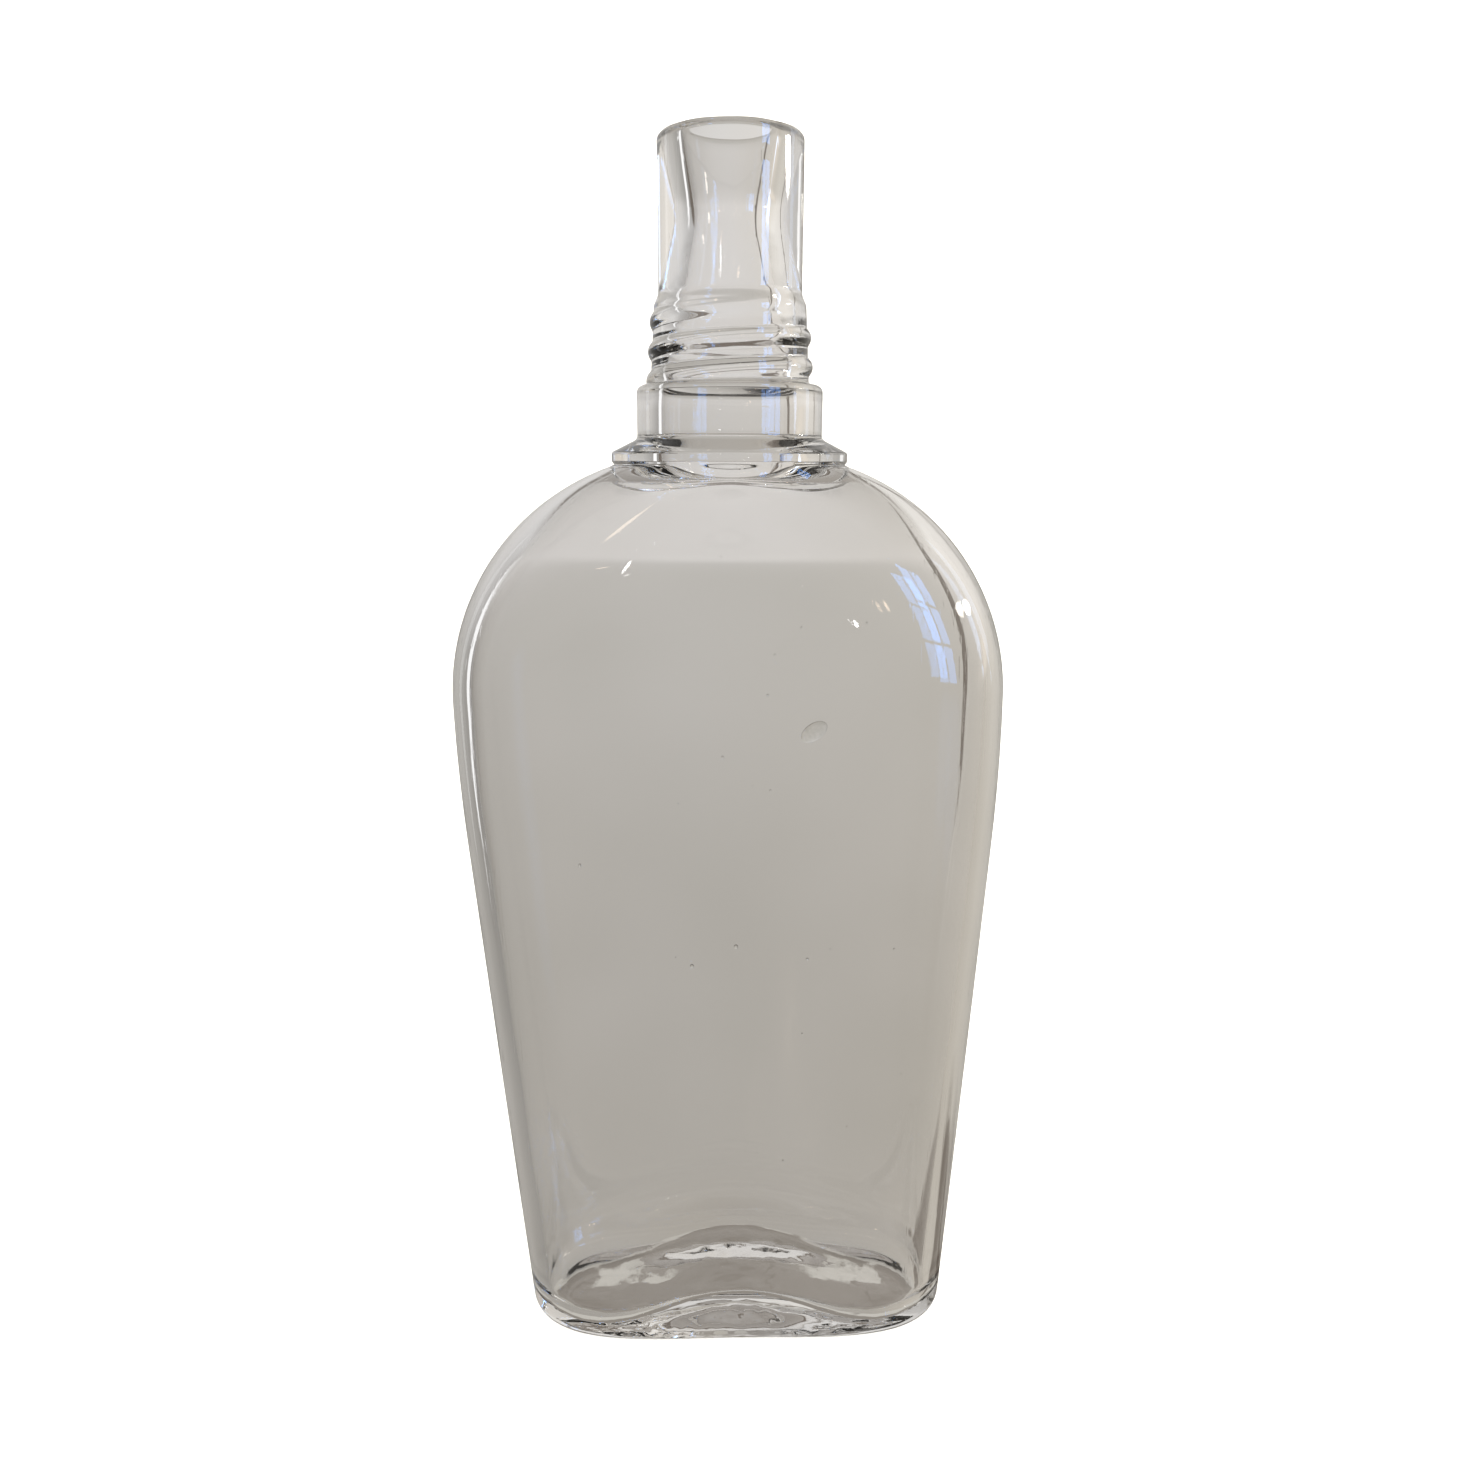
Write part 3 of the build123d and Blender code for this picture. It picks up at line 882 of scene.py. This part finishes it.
def toward(azimuth, elevation):
    """Unit direction: azimuth from +Y towards +X, elevation above the horizon, in radians."""
    return np.stack([np.sin(azimuth) * np.cos(elevation), np.cos(azimuth) * np.cos(elevation),
                     np.sin(elevation) + 0 * azimuth], -1)


def room_only(piece, seen=("glossy", "transmission")):
    """Keeps a stage piece from every ray but the kinds that are named."""
    for kind in ("camera", "diffuse", "glossy", "transmission", "volume_scatter", "shadow"):
        setattr(piece, "visible_" + kind, kind in seen)


# name, azimuth, elevation, width, height in degrees, colour, strength, soft edge, tilt
ROOM_PATCHES = (
    ("window_sill_light", 121, -14, 14, 20, "#D6E4FF", 0.9, 0.3),
    ("ivory_wall", 66, 0, 50, 11, "#FFF6E8", 0.8, 0.35, -18),
    ("lamp_right", 82.8, 15.9, 12.0, 4.2, "#FFFBF2", 24.0, 0.08),
    ("lamp_left", 209, 25.2, 8.0, 3.0, "#FFE9CF", 7.0, 0.3, -12),
    ("lamp_left_low", 197.5, 23.0, 2.6, 2.0, "#FFE9CF", 7.0, 0.3),
    ("lamp_front", 150.5, 9.4, 2.2, 2.6, "#FFE4C8", 10.0, 0.3),
    ("low_streak", 175.9, -31.4, 2.5, 14, "#FFF4E6", 0.6, 0.45),
    ("ceiling_spot_right", 163, 2.5, 1.2, 1.2, "#FFFFFF", 40.0, 0.2),
    ("ceiling_spot_left", 196, 11.4, 1.2, 1.6, "#FFFFFF", 40.0, 0.2),
    ("dark_door", 282, 4, 22, 70, "#6E655C", 0.95, 0.12),
    ("dark_chair", 40, -40, 40, 12, "#6E655C", 0.95, 0.2, 20),
    ("dark_beam", 0, 40, 80, 7, "#746B62", 0.9, 0.15),
    ("dark_frame", 24, 10, 3, 60, "#7A7066", 0.8, 0.1),
    ("pale_curtain", 300, 5, 8, 60, "#FFFFFF", 1.1, 0.1),
    ("second_window", 72, 14, 9, 40, "#DCE8FF", 1.9, 0.08),
)


def room_patch(name, azimuth, elevation, width, height, hex_colour, strength, edge=0.3, tilt=0.0):
    """A patch of a sphere round the flask, light or dark, centred on a direction, in degrees.

    A point is centre + u (width) + v (height) in angle, turned by tilt.
    """
    steps = np.linspace(0, 1, PATCH_STEPS + 1)
    u, v = np.meshgrid(steps, steps)
    across, up = (u - 0.5) * width, (v - 0.5) * height
    c, s = math.cos(math.radians(tilt)), math.sin(math.radians(tilt))
    az = np.radians(azimuth + (across * c - up * s) / math.cos(math.radians(elevation)))
    el = np.radians(elevation + across * s + up * c)
    points = ROOM * toward(az, el) + np.array([0, 0, 0.1])
    i, j = np.meshgrid(np.arange(PATCH_STEPS), np.arange(PATCH_STEPS), indexing="ij")
    corner = (i * len(steps) + j).ravel()
    above = corner + len(steps)
    faces = np.stack([corner, corner + 1, above + 1, above], -1).tolist()
    material = patch_material(name, linear(hex_colour), strength, edge)
    room_only(add_mesh(name, points, faces, material, np.stack([u, v], -1)))


def table_painted_shade(body):
    """A level glowing oval just under the foot, from its middle out to the foot's own edge,
    carrying the painted shade and painted light of the table beneath the flask.
    """
    turn, share = column_turns(), np.linspace(0.02, 1, 24)[:, None]
    x, y = oval(body.foot_width - 0.5 * MM, body.foot_depth - 0.5 * MM, 0.9, turn)
    x, y = x * share, y * share
    grid = np.stack([x + body.foot_drift, y, 0 * x - TABLE_GAP], -1)
    uvs = np.stack([x / (2 * body.foot_width), y / (2 * body.foot_depth)], -1) + 0.5
    rows, columns = share.size, turn.size
    points = np.concatenate([[(body.foot_drift, 0, -TABLE_GAP)], grid.reshape(-1, 3)])
    uvs = np.concatenate([[(0.5, 0.5)], uvs.reshape(-1, 2)])
    faces = [face[::-1] for face in closed_faces(rows, columns)[:-columns]]
    room_only(add_mesh("table_painted_shade", points, faces, table_painted_shade_material(), uvs))


def window_panes(azimuth, low, high, width, columns, rows, bar):
    """Upright panes in a grid on a plane, with bars of this width between, sizes in metres."""
    centre = toward(np.radians(azimuth), np.radians(0.0))
    side = np.array([centre[1], -centre[0], 0.0])
    i, j = np.meshgrid(np.arange(rows), np.arange(columns), indexing="ij")
    pane_width, pane_height = width / columns, (high - low) / rows
    left, foot = j * pane_width + bar / 2, i * pane_height + bar / 2
    right, head = left + pane_width - bar, foot + pane_height - bar
    across = np.stack([left, right, right, left], -1).reshape(-1, 4) - width / 2
    up = np.stack([foot, foot, head, head], -1).reshape(-1, 4)
    points = ROOM * centre + across[..., None] * side + (up[..., None] + low) * (0, 0, 1)
    uvs = np.stack([across / width + 0.5, up / (high - low)], -1)
    faces = np.arange(points.size // 3).reshape(-1, 4).tolist()
    room_only(add_mesh("window", points, faces, window_material(9.0, 6.0), uvs))


def room_world(stage):
    """The soft grey room that clear glass shows: brightest above the horizon, to the right."""
    world = bpy.data.worlds.new("soft_room")
    world.use_nodes = True
    tree = world.node_tree
    tree.nodes.clear()
    direction = add_node(tree, "ShaderNodeTexCoord").outputs["Generated"]
    axes = add_node(tree, "ShaderNodeSeparateXYZ", links={0: direction}).outputs
    shares = [
        add_node(tree, "ShaderNodeMapRange", {"From Min": -1.0, "From Max": 1.0},
                 {"Value": axes[axis]}).outputs["Result"]
        for axis in ("X", "Y", "Z")
    ]
    height = add_node(tree, "ShaderNodeValToRGB", links={"Fac": shares[2]}, stops=[
        (0.10, linear("#B2AEA7")), (0.30, linear("#B6B3AD")), (0.455, linear("#C3C1BC")),
        (0.50, linear("#C9C7C3")), (0.565, linear("#DEDCD9")), (0.61, linear("#DDDBD8")),
        (0.76, linear("#E2E1DF")), (0.87, linear("#A39F9A")),
        (1.0, linear("#948F8A")),
    ])
    side = add_node(tree, "ShaderNodeValToRGB", links={"Fac": shares[0]}, stops=[
        (0.0, grey(0.22)), (0.08, grey(0.31)), (0.25, grey(0.46)), (0.5, grey(0.50)),
        (0.62, linear("#BDBCBA")), (0.85, linear("#CBC9C5")), (0.95, linear("#C2BFBA")),
        (1.0, linear("#B0ABA4")),
    ])
    behind = add_node(tree, "ShaderNodeValToRGB", links={"Fac": shares[1]}, stops=[
        (0.0, grey(0.42)), (0.3, grey(0.44)), (0.56, grey(0.5)), (1.0, grey(0.5)),
    ])
    sides = add_node(tree, "ShaderNodeVectorMath",
                     links={0: side.outputs["Color"], 1: behind.outputs["Color"]},
                     operation="MULTIPLY")
    all_round = add_node(tree, "ShaderNodeVectorMath",
                         links={0: sides.outputs[0], 1: height.outputs["Color"]},
                         operation="MULTIPLY")
    sky = add_node(tree, "ShaderNodeBackground", {"Strength": ROOM_GAIN * stage.room_strength},
                   {"Color": all_round.outputs[0]})
    add_node(tree, "ShaderNodeOutputWorld", links={"Surface": sky.outputs[0]})
    bpy.context.scene.world = world


def backdrop_bowl(stage, columns=96):
    """Floor, cove and wall as one surface of revolution: a level disc, a quarter round, a wall."""
    radius, cove = stage.bowl_radius, 0.35 * stage.bowl_radius
    flat = np.linspace(0.01, radius - cove, 24)
    turn = np.linspace(0, np.pi / 2, 16)[1:]
    wall = np.linspace(cove, 1.4 * radius, 8)[1:]
    reach = np.concatenate([flat, radius - cove + cove * np.sin(turn), np.full(7, radius)])
    level = np.concatenate([0 * flat, cove * (1 - np.cos(turn)), wall])
    around = np.linspace(0, 2 * np.pi, columns, endpoint=False)[None]
    grid = np.stack([reach[:, None] * np.cos(around), reach[:, None] * np.sin(around),
                     level[:, None] + 0 * around], -1)
    rows = len(reach)
    points = np.concatenate([[(0, 0, 0)], grid.reshape(-1, 3)])
    faces = closed_faces(rows, columns)[:-columns]
    faces = [face[::-1] for face in faces]
    return add_mesh("stage_floor", points, faces, painted_backdrop_material(stage))


class FLASK_OT_stage(bpy.types.Operator):
    """Make the pale floor, the soft light, the room that shows in the glass, and the camera"""

    bl_idname = "flask.stage"
    bl_label = "Stage"

    def execute(self, context):
        scene, stage = context.scene, context.scene.flask_stage
        floor = backdrop_bowl(stage)
        room_only(floor, ("camera", "diffuse", "shadow"))
        room_world(stage)
        self.add_room_lights()
        # a glowing card under the foot: painted shade and painted light of the table
        table_painted_shade(scene.flask_body)
        self.add_overhead_light(scene, stage)
        self.add_camera(scene, stage)
        scene.view_settings.view_transform = "Standard"
        scene.cycles.max_bounces = 24
        scene.cycles.transmission_bounces = 24
        scene.cycles.glossy_bounces = 8
        scene.cycles.transparent_max_bounces = 24
        return {"FINISHED"}

    def add_room_lights(self):
        """Windows and lamps of the room, placed by direction."""
        window_panes(azimuth=125.5, low=-0.03, high=1.02, width=0.48, columns=2, rows=3, bar=0.03)
        for patch in ROOM_PATCHES:
            room_patch(*patch)

    def add_overhead_light(self, scene, stage):
        lamp = bpy.data.lights.new("overhead_soft", "AREA")
        lamp.shape = "DISK"
        lamp.size = 2.2
        lamp.energy = stage.key_power
        lamp.color = linear("#FFFEFC")
        holder = bpy.data.objects.new("overhead_soft", lamp)
        holder.location = (0.0, -0.2, 1.9)
        holder.visible_camera = holder.visible_glossy = holder.visible_transmission = False
        scene.collection.objects.link(holder)

    def add_camera(self, scene, stage):
        """Looks along (sin yaw cos pitch, cos yaw cos pitch, -sin pitch), rolled about it."""
        yaw, pitch, roll = stage.camera_yaw, stage.camera_pitch, stage.camera_roll
        ahead = Vector((math.sin(yaw) * math.cos(pitch), math.cos(yaw) * math.cos(pitch),
                        -math.sin(pitch)))
        level_right = Vector((math.cos(yaw), -math.sin(yaw), 0))
        level_up = level_right.cross(ahead)
        right = math.cos(roll) * level_right + math.sin(roll) * level_up
        up = math.cos(roll) * level_up - math.sin(roll) * level_right
        camera = bpy.data.objects.new("camera", bpy.data.cameras.new("camera"))
        camera.matrix_world = Matrix.Translation(stage.camera_place) @ Matrix(
            (right, up, -ahead)).transposed().to_4x4()
        camera.data.lens = stage.lens
        camera.data.clip_start = 0.01
        camera.data.dof.use_dof = False
        scene.collection.objects.link(camera)
        scene.camera = camera


class FLASK_PT_sidebar(bpy.types.Panel):
    """Lists what can be made, with the sizes and colours to change"""

    bl_idname = "FLASK_PT_sidebar"
    bl_label = "Glass Pocket Flask"
    bl_space_type = "VIEW_3D"
    bl_region_type = "UI"
    bl_category = "Flask"

    def draw(self, context):
        for operator in OPERATORS:
            self.layout.operator(operator.bl_idname, text=operator.bl_label)
        for owner in PROPERTIES:
            box = self.layout.box()
            group = getattr(context.scene, owner)
            for name in group.__annotations__:
                box.prop(group, name)


PROPERTIES = {
    "flask_body": FlaskBodySizes,
    "flask_neck": FlaskNeckSizes,
    "flask_look": FlaskGlassLook,
    "flask_stage": FlaskStageLook,
}
OPERATORS = (FLASK_OT_glass, FLASK_OT_seeds, FLASK_OT_blister, FLASK_OT_stage)


def register():
    for kind in (*PROPERTIES.values(), *OPERATORS, FLASK_PT_sidebar):
        bpy.utils.register_class(kind)
    for name, kind in PROPERTIES.items():
        setattr(bpy.types.Scene, name, bpy.props.PointerProperty(type=kind))


def unregister():
    for name in PROPERTIES:
        delattr(bpy.types.Scene, name)
    for kind in (FLASK_PT_sidebar, *reversed(OPERATORS), *PROPERTIES.values()):
        bpy.utils.unregister_class(kind)


def main():
    register()
    bpy.ops.flask.glass()
    bpy.ops.flask.seeds()
    bpy.ops.flask.blister()
    bpy.ops.flask.stage()


if __name__ == "__main__":
    main()
